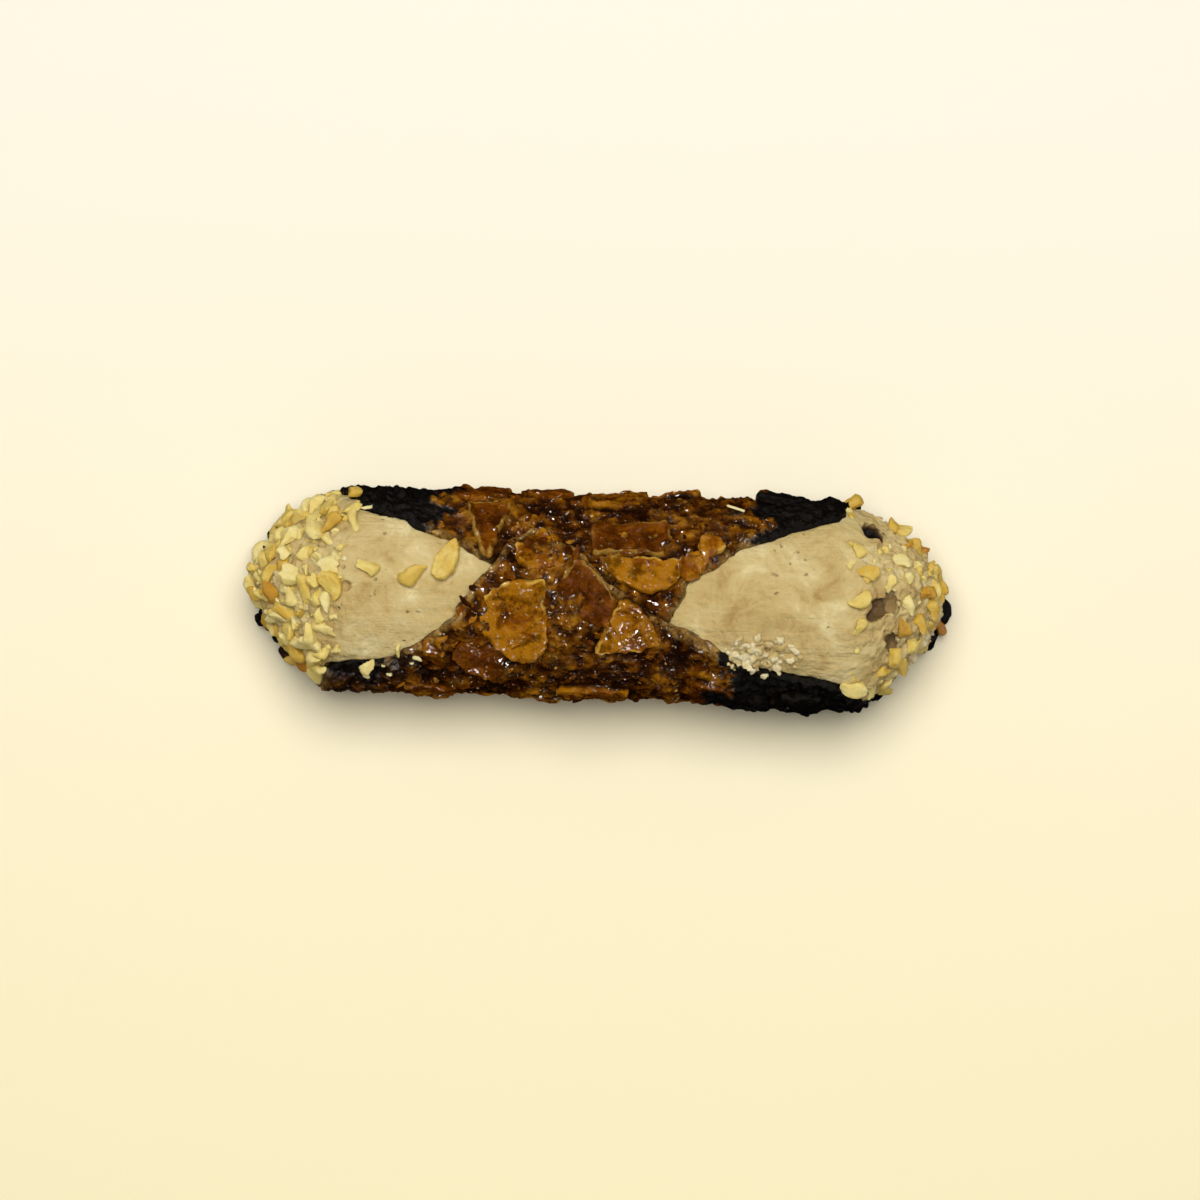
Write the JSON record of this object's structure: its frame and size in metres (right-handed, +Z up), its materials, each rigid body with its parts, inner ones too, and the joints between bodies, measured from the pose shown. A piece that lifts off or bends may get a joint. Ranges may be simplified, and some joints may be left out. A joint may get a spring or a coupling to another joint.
{
  "type": "filled cannoli pastry",
  "caption": "Caramel and almond wafer rolled round a cream filling, with dark dipped ends and chopped nuts on the cream at both mouths.",
  "frame": {"origin": "on the surface it rests on, under the middle of the tube, at the centre of the flat underside", "axes": "+X along the tube towards the wider mouth, +Z up out of the lap where the two flaps meet, -Y towards the side whose flap lies on top"},
  "size_m": [0.1197, 0.0379, 0.037],
  "materials": {
    "wafer": "glossy dark caramel with golden almond slices, near black where it is dipped in chocolate",
    "cream": "soft satin pale yellow-beige cream with chopped nuts"
  },
  "bodies": {
    "root": {"wafer": "wafer", "cream": "cream"}
  },
  "joints": []
}
